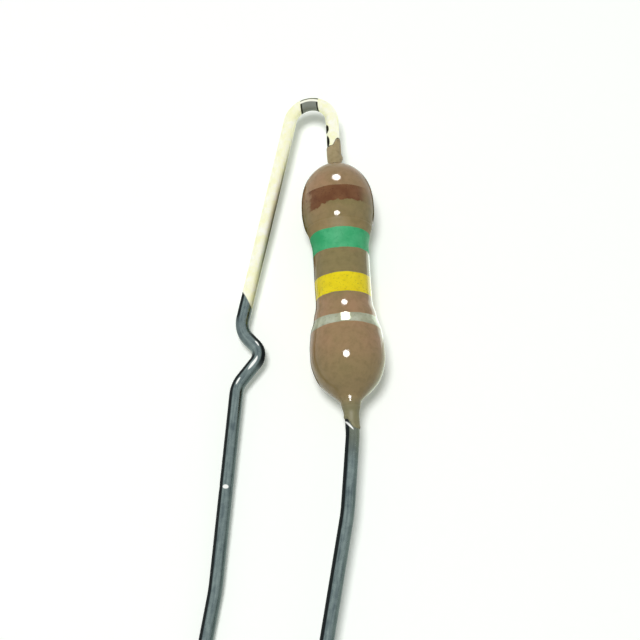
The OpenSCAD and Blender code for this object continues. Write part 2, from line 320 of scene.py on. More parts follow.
def spot(tree, u, v, half_u, half_v, outer=1.15, inner=0.8):
    """1 inside an oval and 0 outside: u and v are distances from its middle, and the oval's
    half sizes are in millimetres."""
    at = add(tree, "ShaderNodeCombineXYZ", None, {0: u, 1: v})
    at = add(tree, "ShaderNodeVectorMath", "MULTIPLY",
             {0: at, 1: (1 / (half_u * MM), 1 / (half_v * MM), 0)})
    at = add(tree, "ShaderNodeVectorMath", "LENGTH", {0: at})
    return add(tree, "ShaderNodeMapRange", SMOOTH, {0: at, 1: outer, 2: inner})


def kink_dark_edges(tree, length, side, painted_dark_edge):
    """The painted dark edge round the kink, which was pressed over a pin: a painted dark reflection
    along its outer curve, kept off the flank before it."""
    painted_dark_curve = add(tree, "ShaderNodeMapRange", SMOOTH, {0: side, 1: -0.3, 2: -0.6})
    for start, before in ((1.6, 0.0), (3.0, 1.0)):
        within = add(tree, "ShaderNodeMapRange", SMOOTH, {
            0: length, 1: (PAINTED_BRIGHT_TO + start) * MM, 2: (PAINTED_BRIGHT_TO + start + 0.5) * MM,
            3: before, 4: 1 - before})
        painted_dark_curve = add(tree, "ShaderNodeMath", "MULTIPLY", {0: painted_dark_curve, 1: within})
    off = add(tree, "ShaderNodeMath", "SUBTRACT", {0: length, 1: (PAINTED_BRIGHT_TO + 1.9) * MM})
    off = add(tree, "ShaderNodeMath", "ABSOLUTE", {0: off})
    kept = add(tree, "ShaderNodeMapRange", SMOOTH, {0: off, 1: 0.75 * MM, 2: 1.15 * MM, 3: 0.15})
    painted_dark_edge = add(tree, "ShaderNodeMath", "MULTIPLY", {0: painted_dark_edge, 1: kept})
    return add(tree, "ShaderNodeMath", "MAXIMUM", {0: painted_dark_edge, 1: painted_dark_curve})


def painted_bright_tin(tree, turned, patches, uneven):
    """The painted bright reflection of the long lead: white with a faint straw tint, a greyer
    painted reflection along the inner edge of the hairpin, two short dark marks, and a patch of
    painted reflection with a painted highlight on the hairpin's crest."""
    x, _, length = add(tree, "ShaderNodeSeparateXYZ", None, {0: turned}).outputs
    side = add(tree, "ShaderNodeMath", "DIVIDE", {0: x, 1: WIRE_R * MM})
    straw = add(tree, "ShaderNodeMapRange", None, {0: patches, 1: 0.35, 2: 0.6})
    # Painted reflection: a greyer line along the inner edge, past the bend
    inner_edge = add(tree, "ShaderNodeMapRange", SMOOTH, {0: side, 1: -0.8, 2: -0.9, 4: 0.75})
    past_bend = add(tree, "ShaderNodeMapRange", SMOOTH, {0: length, 1: 6.3 * MM, 2: 9.5 * MM})
    inner_reflection_line = add(tree, "ShaderNodeMath", "MULTIPLY", {0: inner_edge, 1: past_bend})
    bright = layered(tree, "#fefef2", (straw, "#fbfbd6"), (inner_reflection_line, "#a2a47e"))

    # Two short dark marks on the inner shoulder, just above the lacquer, with ragged ends
    shoulder, ragged = radians(50), 0.2
    scraped = add(tree, "ShaderNodeMath", "MULTIPLY_ADD", {0: uneven, 1: ragged * MM, 2: length})
    beside = add(tree, "ShaderNodeVectorMath", "DOT_PRODUCT",
                 {0: turned, 1: (sin(shoulder), -cos(shoulder), 0)})
    inner = add(tree, "ShaderNodeMapRange", SMOOTH, {0: side, 1: 0.0, 2: -0.2})
    for place, half_length in ((2.48, 0.28), (3.12, 0.21)):
        off = add(tree, "ShaderNodeMath", "SUBTRACT", {0: scraped, 1: (place + ragged) * MM})
        nick = spot(tree, beside, off, 0.13, half_length, 1.1, 0.85)
        nick = add(tree, "ShaderNodeMath", "MULTIPLY", {0: nick, 1: inner})
        bright = layered(tree, bright, (nick, "#10120a"))

    # Painted reflection on the hairpin's crest: a grey patch squared off across the wire, with dark
    # ends, a white painted highlight crescent and a dark olive line along the crest
    off = add(tree, "ShaderNodeMath", "SUBTRACT", {0: length, 1: 5.2 * MM})
    spread = add(tree, "ShaderNodeMath", "MULTIPLY_ADD", {0: x, 1: 1 / (HAIRPIN_R * MM), 2: 1.0})
    off = add(tree, "ShaderNodeMath", "MULTIPLY", {0: off, 1: spread})
    off = add(tree, "ShaderNodeMath", "ABSOLUTE", {0: off})
    within = add(tree, "ShaderNodeMapRange", SMOOTH, {0: off, 1: 0.47 * MM, 2: 0.43 * MM})
    ends = add(tree, "ShaderNodeMapRange", SMOOTH, {0: off, 1: 0.34 * MM, 2: 0.39 * MM})
    crescent = add(tree, "ShaderNodeMapRange", SMOOTH, {0: side, 1: 0.15, 2: 0.28})
    crest = add(tree, "ShaderNodeMapRange", SMOOTH, {0: side, 1: 0.58, 2: 0.68})
    crest_reflection = layered(tree, "#8d9287", (ends, "#1d2110"), (crescent, "#fdfdee"), (crest, "#59602f"))
    return layered(tree, bright, (within, crest_reflection))


def tinned_wire(name, facing, painted_bright, painted_glints):
    """Tinned wire, drawn through a die: a dull bluish grey, streaked lengthwise, with painted shade
    down its right flank and a painted dark reflection down its left. With painted_bright the
    long lead is painted white and bright as far as PAINTED_BRIGHT_TO, a painted bright
    reflection. Facing is how far the wire's own upward side is turned from the part's. Painted
    glints are small bright spots painted as highlights: place across and along, half width,
    half length and slant."""
    material, tree = new_material(name)
    drawn = add(tree, "ShaderNodeAttribute", {"attribute_name": "drawn"}).outputs["Vector"]
    turned = add(tree, "ShaderNodeMapping", {"vector_type": "VECTOR"},
                 {"Vector": drawn, "Rotation": (0, 0, facing)})
    x, y, length = add(tree, "ShaderNodeSeparateXYZ", None, {0: turned}).outputs
    side = add(tree, "ShaderNodeMath", "DIVIDE", {0: x, 1: WIRE_R * MM})
    stretched = add(tree, "ShaderNodeMapping", None, {"Vector": drawn, "Scale": (1, 1, 0.06)})
    streaks = add(tree, "ShaderNodeTexNoise", None,
                  {"Vector": stretched, "Scale": 1 / (0.08 * MM), "Detail": 2.0})
    patches = add(tree, "ShaderNodeTexNoise", None,
                  {"Vector": drawn, "Scale": 1 / (0.4 * MM), "Detail": 4.0, "Roughness": 0.65})
    uneven = add(tree, "ShaderNodeMath", "ADD", {0: streaks, 1: patches})
    tone = add(tree, "ShaderNodeMapRange", None, {0: uneven, 1: 0.75, 2: 1.3})
    # Painted shade: the right flank is darker
    right_flank_shade = add(tree, "ShaderNodeMapRange", SMOOTH, {0: side, 1: -0.2, 2: -0.75, 4: 0.6})
    # Close to the lacquer the tin is an olive grey
    olive_near_lacquer = add(tree, "ShaderNodeMapRange", SMOOTH,
                {0: length, 1: 2.6 * MM, 2: 4.1 * MM, 3: 0.65, 4: 0.0})
    # Painted dark reflection down the left flank: near black, matt and not metallic
    painted_dark_edge = add(tree, "ShaderNodeMapRange", SMOOTH, {0: side, 1: 0.4, 2: 0.58})
    if painted_bright:
        painted_dark_edge = kink_dark_edges(tree, length, side, painted_dark_edge)
    colour = layered(tree, "#586669", (tone, "#869693"), (right_flank_shade, "#4b5954"),
                     (olive_near_lacquer, "#6c6f5c"), (painted_dark_edge, "#0c1415"))
    on_top = add(tree, "ShaderNodeMath", "LESS_THAN", {0: y, 1: 0.0})
    # Painted glints: small bright spots on the wire's top that stand in for highlights
    for across, place, half_width, half_length, slant in painted_glints:
        at_x = add(tree, "ShaderNodeMath", "SUBTRACT", {0: x, 1: across * MM})
        at_s = add(tree, "ShaderNodeMath", "MULTIPLY_ADD", {0: at_x, 1: slant, 2: length})
        at_s = add(tree, "ShaderNodeMath", "SUBTRACT", {0: at_s, 1: place * MM})
        rubbed_and_glint = add(tree, "ShaderNodeMath", "MULTIPLY",
                     {0: spot(tree, at_x, at_s, half_width, half_length), 1: on_top})
        colour = layered(tree, colour, (rubbed_and_glint, "#f8faf6"))
    rough = add(tree, "ShaderNodeMapRange", None, {0: patches, 1: 0.3, 2: 0.7, 3: 0.22, 4: 0.32})
    if painted_bright:
        # The painted bright reflection ends on a slant across the wire
        past = add(tree, "ShaderNodeMath", "MULTIPLY_ADD", {0: x, 1: 1.2, 2: length})
        past = add(tree, "ShaderNodeMath", "MULTIPLY_ADD", {0: patches, 1: 0.12 * MM, 2: past})
        past = add(tree, "ShaderNodeMapRange", SMOOTH,
                   {0: past, 1: (PAINTED_BRIGHT_TO + 0.02) * MM, 2: (PAINTED_BRIGHT_TO + 0.1) * MM})
        colour = layered(tree, painted_bright_tin(tree, turned, patches, uneven), (past, colour))
        rough = add(tree, "ShaderNodeMix", None, {"Factor": past, "A": 0.6, "B": rough})
        painted_dark_edge = add(tree, "ShaderNodeMath", "MULTIPLY", {0: painted_dark_edge, 1: past})
    metallic = add(tree, "ShaderNodeMath", "SUBTRACT", {0: 1.0, 1: painted_dark_edge})
    rough = add(tree, "ShaderNodeMix", None, {"Factor": painted_dark_edge, "A": rough, "B": 0.75})
    surface(tree, {"Base Color": colour, "Metallic": metallic, "Roughness": rough, "IOR": 1.5,
                   "Specular IOR Level": 0.2}, streaks, 0.0008 * MM)
    return material


def plated_steel():
    """Deep-drawn steel, nickel plated: a bright even metal with a fine satin grain."""
    material, tree = new_material("nickel plated steel")
    place = add(tree, "ShaderNodeTexCoord").outputs["Object"]
    satin = add(tree, "ShaderNodeTexNoise", None,
                {"Vector": place, "Scale": 1 / (0.05 * MM), "Detail": 3.0})
    rough = add(tree, "ShaderNodeMapRange", None, {0: satin, 3: 0.22, 4: 0.38})
    surface(tree, {"Base Color": layered(tree, "#d2cfc6", (satin, "#c0beb6")), "Metallic": 1.0,
                   "Roughness": rough}, satin, 0.001 * MM)
    return material


def carbon_film():
    """Pyrolytic carbon, deposited in a furnace: a dark grey film with a soft graphite sheen."""
    material, tree = new_material("pyrolytic carbon film")
    place = add(tree, "ShaderNodeTexCoord").outputs["Object"]
    soot = add(tree, "ShaderNodeTexNoise", None,
               {"Vector": place, "Scale": 1 / (0.08 * MM), "Detail": 5.0})
    surface(tree, {"Base Color": layered(tree, "#26272a", (soot, "#3c3d40")), "Roughness": 0.42,
                   "IOR": 1.8}, soot, 0.001 * MM)
    return material


def fired_ceramic():
    """Alumina ceramic, pressed and fired unglazed: chalky white with a fine grain."""
    material, tree = new_material("fired alumina")
    place = add(tree, "ShaderNodeTexCoord").outputs["Object"]
    grain = add(tree, "ShaderNodeTexNoise", None,
                {"Vector": place, "Scale": 1 / (0.06 * MM), "Detail": 4.0})
    surface(tree, {"Base Color": layered(tree, "#efece2", (grain, "#dcd8cb")), "Roughness": 0.8,
                   "IOR": 1.76}, grain, 0.003 * MM)
    return material


# ---- The lacquered body ----


def outline(along):
    """Radius of the turned body, out to the two necks."""
    far = np.abs(along)
    widening = np.where(along > 0, WIDENING_HAIRPIN, WIDENING_STRAIGHT)
    waist = np.clip((far - widening) / (BULB_AT - widening), 0, 1)
    barrel = BARREL_R + (BULB_R - BARREL_R) * (1 - np.cos(pi * waist)) / 2
    to_round = np.clip((far - BULB_AT) / ROUND_END, 0, 1)
    to_drop = np.clip((far - BULB_AT) / DROP_END, 0, 1)
    # The round end stays full almost to its neck, and the drop end is pinched toward its own
    fullness = np.where(along > 0, (1 - to_round**2.9) ** 0.8, (1 - to_drop**3.7) ** 1.5)
    return np.where(far < BULB_AT, barrel, CREEP_R + (BULB_R - CREEP_R) * fullness)


def ease(low, high, value):
    """0 below low, 1 above high, smooth between."""
    t = np.clip((value - low) / (high - low), 0, 1)
    return t * t * (3 - 2 * t)


# Where the dipped skin settled round the shoulders: place along the body, reach, and how much
# steeper (or flatter, below zero) the outline is there
SETTLED = ((2.38, 0.13, 0.13), (2.78, 0.16, -0.12), (2.08, 0.17, -0.12), (1.6, 0.3, 0.04),
           (-4.1, 0.25, 0.11), (-4.8, 0.3, -0.0917), (-1.5, 0.16, -0.1), (-1.88, 0.16, 0.1),
           (-2.25, 0.16, -0.1), (-2.62, 0.16, 0.1))

# The last drop, the same way: a short shelf on top of the drop end's tail, which starts with
# three small steps close to the neck and ends in a gentler one
DROP = ((-5.65, 0.06, -0.6), (-5.58, 0.06, -0.55), (-5.51, 0.06, -0.8), (-6.02, 0.14, 0.54))


def stepped(along, rows, reach=NECK_STRAIGHT):
    """The radius that rows of steeper and flatter places add, brought back to 0 at the ends."""
    at = np.linspace(-reach, reach, 1425)
    steeper = sum(slope * np.exp(-((at - place) / width) ** 2) for place, width, slope in rows)
    rise = np.concatenate([[0.0], np.cumsum((steeper[1:] + steeper[:-1]) / 2 * (at[1] - at[0]))])
    rise -= np.interp(at, at[[0, -1]], rise[[0, -1]])
    return np.interp(along, at, rise)


def fillet(along):
    """What the lacquer adds where the drop end runs out into its tail."""
    return FILLET * np.exp(-((np.abs(along) - NECK_STRAIGHT + 0.1) / 0.3) ** 2) * (along < 0)


def drip(around, along):
    """What the last drop adds, all of it on top."""
    return ((1 + np.cos(around)) / 2) ** 2 * stepped(along, DROP, DRIP_TO)


def drawn_in(along):
    """How much thinner the lacquer is round the hairpin side's neck."""
    return 0.03 * np.exp(-((along - NECK_HAIRPIN) / 0.2) ** 2)


def skin(around, along):
    """The body's radius with the slow unevenness of a dipped skin. The waves only take away,
    so that the bulbs stay inside their turned size, and they die out at the necks. The hairpin
    side's neck is drawn in, and the other runs out into its tail in a long fillet."""
    deep = 0.008
    wave = (np.sin(2 * around + 0.9 * along + 0.6) + np.sin(3 * around - 1.7 * along + 2.1)
            + np.sin(around + 2.3 * along))
    keep = 1 - ease(4.4, 5.4, np.abs(along))
    return (outline(along) + stepped(along, SETTLED) - deep * keep * (1 + wave / 3)
            - drawn_in(along) + fillet(along) + drip(around, along))


def tail_end_hairpin(around):
    """How far the lacquer crept up the wire: further on the right than on the left."""
    side = np.sin(around)
    slant = TAIL_REACH * np.tanh(TAIL_SLANT * (side - 0.12))
    return TAIL_HAIRPIN + slant - 0.03 * np.cos(3 * around)


def tail_end_straight(around):
    """The same at the other neck, where the edge slants across the top of the wire."""
    return TAIL_STRAIGHT + 0.24 * np.tanh(2.6 * (np.sin(around) + 0.25))


def tail_rings(around, neck, end, side_of_middle, lip):
    """Rings of [around, radius, along, reach] from a neck to the lacquer's rounded end on the
    wire. Past the start of the short lead's first bend they follow the wire."""
    rings, straight_side = [], side_of_middle < 0
    bend_at = NECK_STRAIGHT + CREEP_STRAIGHT if straight_side else np.inf
    rounding, bead_at, bead_width = 0.1, 0.11, 0.08
    for t in np.linspace(0, 1, 29)[1:]:
        along = neck + (end - neck) * t
        bead = lip * np.exp(-((end - along - bead_at) / bead_width) ** 2)
        closing = np.sqrt(np.clip((end - along) / rounding, 0, 1))
        film = CREEP_R - WIRE_R
        if straight_side:
            film = film - 0.02 * ease(neck, neck + 0.9, along)
            film = film + fillet(-along) + drip(around, -along)
        else:
            film = film - drawn_in(along)
        radius = WIRE_R - SUNK + (film + SUNK + bead) * closing
        reach = np.clip(along - bend_at, 0, None) ** 2 / EASY_R
        rings.append((around, radius, side_of_middle * along, reach))
    return rings


def lacquer_body(material, steps=144):
    """The skin from tail to tail, and back along the wall that lies on the caps and the film."""
    around = np.linspace(0, 2 * pi, steps, endpoint=False)
    along_ends = np.sin(np.linspace(0, pi / 2, 34))
    stations = np.concatenate([-(BULB_AT + DROP_END * along_ends[::-1]),
                               np.linspace(-BULB_AT, BULB_AT, 120)[1:-1],
                               BULB_AT + ROUND_END * along_ends])
    rings = tail_rings(around, NECK_STRAIGHT, tail_end_straight(around), -1, 0.02)[::-1]
    rings += [(around, skin(around, along), along) for along in stations]
    # A small lump of lacquer sits on the right of the wire, past the hairpin side's neck
    lump, lump_at = 0.05 * np.exp(-((around - pi / 2) / 0.5) ** 2), 6.01
    for _, radius, along, _ in tail_rings(around, NECK_HAIRPIN, tail_end_hairpin(around), 1, 0.0):
        rings.append((around, radius + lump * np.exp(-((along - lump_at) / 0.12) ** 2), along))
    # The wall inside, half of it: radius and place along the body
    bore, weld_top, cap_mouth = WIRE_R - 0.014, CAP_END + WELD_HEIGHT, CAP_END - CAP_DEPTH
    wall = [(bore, 6.5), (bore, weld_top), (WELD_R, weld_top), (WELD_R, CAP_END),
            (CAP_R - 0.18, CAP_END), (CAP_R - 0.05, CAP_END - 0.05), (CAP_R, CAP_END - 0.18),
            (CAP_R, cap_mouth), (FILM_R, cap_mouth)]
    wall += [(radius, -along) for radius, along in wall[::-1]]
    rings += [(around, np.full(steps, radius), np.full(steps, along)) for radius, along in wall]
    points = np.concatenate([on_body(*ring) for ring in rings])
    faces = []
    for i in range(len(rings)):
        a, b = i * steps, (i + 1) % len(rings) * steps
        for k in range(steps):
            n = (k + 1) % steps
            faces.append((a + k, b + k, b + n, a + n))
    return mesh_piece("lacquer_body", points, faces, material)


# ---- Geometry Nodes trees ----


def new_tree(name, wanted):
    """A Geometry Nodes tree with its named inputs, each of a kind and with a default value."""
    tree = bpy.data.node_groups.new(name, "GeometryNodeTree")
    for title, kind, value in wanted:
        item = tree.interface.new_socket(title, in_out="INPUT", socket_type="NodeSocket" + kind)
        if value is not None:
            item.default_value = value
    tree.interface.new_socket("Geometry", in_out="OUTPUT", socket_type="NodeSocketGeometry")
    return tree, add(tree, "NodeGroupInput").outputs


def end_tree(tree, geometry, material):
    """Ends a tree: smooth faces, real meshes and a material."""
    smooth = add(tree, "GeometryNodeSetShadeSmooth", None, {"Geometry": geometry})
    real = add(tree, "GeometryNodeRealizeInstances", None, {"Geometry": smooth})
    dressed = add(tree, "GeometryNodeSetMaterial", None, {"Geometry": real, "Material": material})
    add(tree, "NodeGroupOutput", None, {0: dressed})


def from_nodes(name, base, tree, values):
    """Runs a Geometry Nodes tree on a base object and keeps the result as a plain mesh piece."""
    holder = put(name + "_maker", base)
    modifier = holder.modifiers.new("maker", "NODES")
    modifier.node_group = tree
    sockets = {i.name: i.identifier for i in tree.interface.items_tree
               if i.item_type == "SOCKET" and i.in_out == "INPUT"}
    for key, value in values.items():
        modifier[sockets[key]] = value
    evaluated = holder.evaluated_get(bpy.context.evaluated_depsgraph_get())
    mesh = bpy.data.meshes.new_from_object(evaluated)
    holder.modifiers.remove(modifier)
    bpy.data.objects.remove(holder)
    mesh.name = name
    return put(name, mesh)


# ---- Paint bands, cast onto the skin ----


def band_tree():
    """A ring of paint: a strip closed round the body's axis, cast outward onto the lacquer's
    skin, a hair proud in its middle and let into the skin at its edges and underneath."""
    tree, given = new_tree("paint ring", (
        ("Skin", "Object", None), ("Axis point", "Vector", None), ("Middle", "Float", 0.0),
        ("Width", "Float", MM), ("Edge wobble", "Float", 0.03 * MM),
        ("Wobble scale", "Float", 1.5), ("Flare", "Float", 0.0), ("Proud", "Float", 0.004 * MM),
        ("Depth", "Float", 0.03 * MM), ("Seed", "Float", 0.0), ("Paint", "Material", None)))

    # A flat lattice: X runs round the body from 0 to 1, Y runs across the strip from -1 to 1
    lattice = add(tree, "GeometryNodeMeshGrid", None,
                  {"Size X": 1.0, "Size Y": 2.0, "Vertices X": 241, "Vertices Y": 27})
    place = add(tree, "GeometryNodeInputPosition")
    share, across, _ = add(tree, "ShaderNodeSeparateXYZ", None, {0: place}).outputs
    around = add(tree, "ShaderNodeMath", "MULTIPLY", {0: share, 1: 2 * pi})
    sine = add(tree, "ShaderNodeMath", "SINE", {0: around})
    cosine = add(tree, "ShaderNodeMath", "COSINE", {0: around})
    outward = add(tree, "ShaderNodeCombineXYZ", None, {0: sine, 2: cosine})

    # The edges wander: each edge reads its own stretch of noise
    wander_at = add(tree, "ShaderNodeCombineXYZ", None, {0: sine, 1: across, 2: cosine})
    noise = add(tree, "ShaderNodeTexNoise", {"noise_dimensions": "4D"},
                {"Vector": wander_at, "W": given["Seed"], "Scale": given["Wobble scale"],
                 "Detail": 3.0})
    centred = add(tree, "ShaderNodeMath", "SUBTRACT", {0: noise, 1: 0.5})
    double = add(tree, "ShaderNodeMath", "MULTIPLY", {0: given["Edge wobble"], 1: 4.0})
    wander = add(tree, "ShaderNodeMath", "MULTIPLY", {0: centred, 1: double})
    half = add(tree, "ShaderNodeMath", "MULTIPLY", {0: given["Width"], 1: 0.5})
    strip = add(tree, "ShaderNodeMath", "MULTIPLY_ADD", {0: across, 1: half, 2: given["Middle"]})
    # A flared strip is wider at the body's sides than on top and underneath
    sides = add(tree, "ShaderNodeMath", "MULTIPLY", {0: sine, 1: sine})
    flare = add(tree, "ShaderNodeMath", "MULTIPLY", {0: sides, 1: across})
    strip = add(tree, "ShaderNodeMath", "MULTIPLY_ADD", {0: flare, 1: given["Flare"], 2: strip})
    along = add(tree, "ShaderNodeMath", "ADD", {0: strip, 1: wander})
    start = add(tree, "ShaderNodeCombineXYZ", None, {1: along})
    start = add(tree, "ShaderNodeVectorMath", "ADD", {0: given["Axis point"], 1: start})
    # The rays start outside, looking in, because the skin is a hollow shell
    outside = add(tree, "ShaderNodeVectorMath", "SCALE", {0: outward, "Scale": 3 * MM})
    source = add(tree, "ShaderNodeVectorMath", "ADD", {0: start, 1: outside})
    inward = add(tree, "ShaderNodeVectorMath", "SCALE", {0: outward, "Scale": -1.0})
    skin_mesh = add(tree, "GeometryNodeObjectInfo", None, {"Object": given["Skin"]})
    hit = add(tree, "GeometryNodeRaycast", None,
              {"Target Geometry": skin_mesh.outputs["Geometry"], "Source Position": source,
               "Ray Direction": inward, "Ray Length": 4 * MM})

    # Film thickness across the strip: full in the middle, feathered to nothing at the edges
    edge = add(tree, "ShaderNodeMath", "ABSOLUTE", {0: across})
    edge = add(tree, "ShaderNodeMath", "POWER", {0: edge, 1: 10.0})
    full = add(tree, "ShaderNodeMath", "SUBTRACT", {0: 1.0, 1: edge})
    faces = []
    for side, amount in ((1, given["Proud"]), (-1, given["Depth"])):
        lift = add(tree, "ShaderNodeMath", "MULTIPLY", {0: amount, 1: full})
        height = add(tree, "ShaderNodeMath", "MULTIPLY_ADD",
                     {0: lift, 1: float(side), 2: -0.002 * MM})
        offset = add(tree, "ShaderNodeVectorMath", "SCALE", {0: outward, "Scale": height})
        at = add(tree, "ShaderNodeVectorMath", "ADD", {0: hit.outputs["Hit Position"], 1: offset})
        placed = add(tree, "GeometryNodeSetPosition", None, {"Geometry": lattice, "Position": at})
        if side > 0:
            placed = add(tree, "GeometryNodeFlipFaces", None, {"Mesh": placed})
        faces.append(placed)
    both = add(tree, "GeometryNodeJoinGeometry")
    for geometry in faces:
        tree.links.new(geometry.outputs[0], both.inputs[0])
    closed = add(tree, "GeometryNodeMergeByDistance", None,
                 {"Geometry": both, "Distance": 0.0005 * MM})
    end_tree(tree, closed, given["Paint"])
    return tree


# ---- Leads ----


def follow(state, program):
    """The end of a bend program: state is (reach, along, heading in degrees)."""
    for row in program:
        state = bend(run_on(state, row[0]), row[1], row[2])
    return state


def run_on(state, run):
    """The end of a straight run."""
    u, v, heading = state
    return (u + run * sin(radians(heading)), v + run * cos(radians(heading)), heading)


def bend(state, turn, r):
    """The end of a bend of so many degrees, where r is the radius of the wire's middle line."""
    u, v, heading = state
    side, after = (1 if turn > 0 else -1), heading + turn
    return (u + side * r * (cos(radians(heading)) - cos(radians(after))),
            v - side * r * (sin(radians(heading)) - sin(radians(after))), after)


def across_legs(state):
    """How far a point is across the legs, from the middle of the body."""
    return state[0] * cos(radians(LEG_LEAN)) + state[1] * sin(radians(LEG_LEAN))


def along_legs(state):
    """How far a point is down along the legs."""
    return state[0] * sin(radians(LEG_LEAN)) - state[1] * cos(radians(LEG_LEAN))


def lead_programs():
    """The rows of (straight run, turn, bend radius) for the long and the short lead."""
    short_from = (0.0, -CAP_END, 180.0)
    short = [(NECK_STRAIGHT + CREEP_STRAIGHT - CAP_END, -SHORT_LEG_SLOPE, EASY_R / 2),
             (SHORT_LEG, SHORT_LEG_SLOPE - LEG_LEAN, EASY_R)]
    kink = [(KINK_IN, -KINK_IN_SLOPE - KINK_OUT_SLOPE, KINK_INNER_R),
            (KINK_OUT, KINK_OUT_SLOPE - LONG_LEG_SLOPE, KINK_EXIT_R),
            (LONG_LEG, LONG_LEG_SLOPE - LEG_LEAN, EASY_R)]
    heading = 180 + KINK_IN_SLOPE
    across = (across_legs(follow(short_from, short)) + LEAD_PITCH
              - across_legs(follow((0, 0, heading), kink)))
    lean = radians(LEG_LEAN)
    kink_u = across + KINK_AT * sin(lean) + KINK_OUTER_R * cos(radians(heading) + lean)
    kink_u /= cos(lean)
    # The run down from the hairpin is the common tangent of the hairpin and the kink's outer bend
    du, dv = kink_u - HAIRPIN_R, -KINK_AT - HAIRPIN_START
    down = degrees(acos((KINK_OUTER_R - HAIRPIN_R) / hypot(du, dv)) - atan2(dv, du))
    descent = sqrt(du**2 + dv**2 - (KINK_OUTER_R - HAIRPIN_R) ** 2)
    long = [(HAIRPIN_START - CAP_END, down, HAIRPIN_R),
            (descent, heading - down, KINK_OUTER_R)] + kink
    return ((0.0, CAP_END, 0.0), long), (short_from, short)


def wire_line(name, state, program, steps_per_mm=12):
    """The centre line of a lead as a curve, from the welded head to the cut tip. The radius on
    the curve is a share of the wire's own: the head is wider, and tight bends are drawn thinner."""
    last = TIP_REACH - along_legs(follow(state, program))
    points, shares, at = [], [], state

    def mark(state, share):
        points.append(on_form(state[0], state[1]))
        shares.append(share)

    head = WELD_R / WIRE_R
    for along, share in ((0, head), (WELD_HEIGHT - 0.001, head), (WELD_HEIGHT + 0.001, 1.0)):
        mark(run_on(at, along), share)
    done = WELD_HEIGHT + 0.08
    for run, turn, r in program + [(last, 0.0, 1.0)]:
        for step in np.linspace(done, run, max(2, int((run - done) * steps_per_mm / 2))):
            mark(run_on(at, step), 1.0)
        at = run_on(at, run)
        count = max(2, int(abs(radians(turn)) * r * steps_per_mm * 2))
        for k in range(1, count + 1 if turn else 1):
            drawn = 1 - 0.02 * sin(pi * k / count) * min(1, 1.5 / r)
            mark(bend(at, turn * k / count, r), drawn)
        at, done = bend(at, turn, r) if turn else at, 0.02
    curve = bpy.data.curves.new(name, "CURVE")
    curve.dimensions = "3D"
    spline = curve.splines.new("POLY")
    spline.points.add(len(points) - 1)
    spline.points.foreach_set("co", np.c_[points, np.ones(len(points))].ravel())
    spline.points.foreach_set("radius", shares)
    return curve


def wire_tree():
    """A lead: a round wire swept along its centre line, slightly uneven, with one small nick."""
    tree, given = new_tree("drawn wire", (
        ("Geometry", "Geometry", None), ("Wire radius", "Float", WIRE_R * MM),
        ("Sides", "Int", 40), ("Unevenness", "Float", 0.004 * MM), ("Lump size", "Float", MM),
        ("Nick at", "Float", 0.0), ("Nick length", "Float", 0.1 * MM),
        ("Nick depth", "Float", 0.0), ("Seed", "Float", 0.0), ("Metal", "Material", None)))

    path = add(tree, "GeometryNodeCaptureAttribute")
    path.capture_items.new("FLOAT", "length")
    tree.links.new(given["Geometry"], path.inputs[0])
    tree.links.new(add(tree, "GeometryNodeSplineParameter").outputs["Length"], path.inputs[1])
    circle = add(tree, "GeometryNodeCurvePrimitiveCircle", None,
                 {"Resolution": given["Sides"], "Radius": given["Wire radius"]})
    profile = add(tree, "GeometryNodeCaptureAttribute")
    profile.capture_items.new("VECTOR", "round")
    tree.links.new(circle.outputs[0], profile.inputs[0])
    tree.links.new(add(tree, "GeometryNodeInputPosition").outputs[0], profile.inputs[1])
    swept = add(tree, "GeometryNodeCurveToMesh", None,
                {"Curve": path, "Profile Curve": profile,
                 "Scale": add(tree, "GeometryNodeInputRadius"), "Fill Caps": True})

    # The wire's own coordinates, as if it were still straight: across in X and Y, along in Z
    x, y, _ = add(tree, "ShaderNodeSeparateXYZ", None, {0: profile.outputs[1]}).outputs
    straight = add(tree, "ShaderNodeCombineXYZ", None, {0: x, 1: y, 2: path.outputs[1]})
    scale = add(tree, "ShaderNodeMath", "DIVIDE", {0: 1.0, 1: given["Lump size"]})
    lumps = add(tree, "ShaderNodeTexNoise", {"noise_dimensions": "4D"},
                {"Vector": straight, "W": given["Seed"], "Scale": scale, "Detail": 1.0})
    centred = add(tree, "ShaderNodeMath", "SUBTRACT", {0: lumps, 1: 0.6})
    uneven = add(tree, "ShaderNodeMath", "MULTIPLY", {0: centred, 1: given["Unevenness"]})
    from_nick = add(tree, "ShaderNodeMath", "SUBTRACT", {0: path.outputs[1], 1: given["Nick at"]})
    share = add(tree, "ShaderNodeMath", "DIVIDE", {0: from_nick, 1: given["Nick length"]})
    bell = add(tree, "ShaderNodeMath", "MULTIPLY", {0: share, 1: share})
    bell = add(tree, "ShaderNodeMath", "MULTIPLY", {0: bell, 1: -1.0})
    bell = add(tree, "ShaderNodeMath", "EXPONENT", {0: bell})
    nick = add(tree, "ShaderNodeMath", "MULTIPLY", {0: bell, 1: given["Nick depth"]})
    rise = add(tree, "ShaderNodeMath", "SUBTRACT", {0: uneven, 1: nick})
    outward = add(tree, "GeometryNodeInputNormal")
    push = add(tree, "ShaderNodeVectorMath", "SCALE", {0: outward, "Scale": rise})
    moved = add(tree, "GeometryNodeSetPosition", None, {"Geometry": swept, "Offset": push})
    kept = add(tree, "GeometryNodeStoreNamedAttribute",
               {"data_type": "FLOAT_VECTOR", "domain": "POINT"},
               {"Geometry": moved, "Name": "drawn", "Value": straight})
    end_tree(tree, kept, given["Metal"])
    return tree


# ---- Pieces ----

body = lacquer_body(dipped_lacquer())
body.data.set_sharp_from_angle(angle=radians(60))
finish_piece(body, "lacquer", "coating")

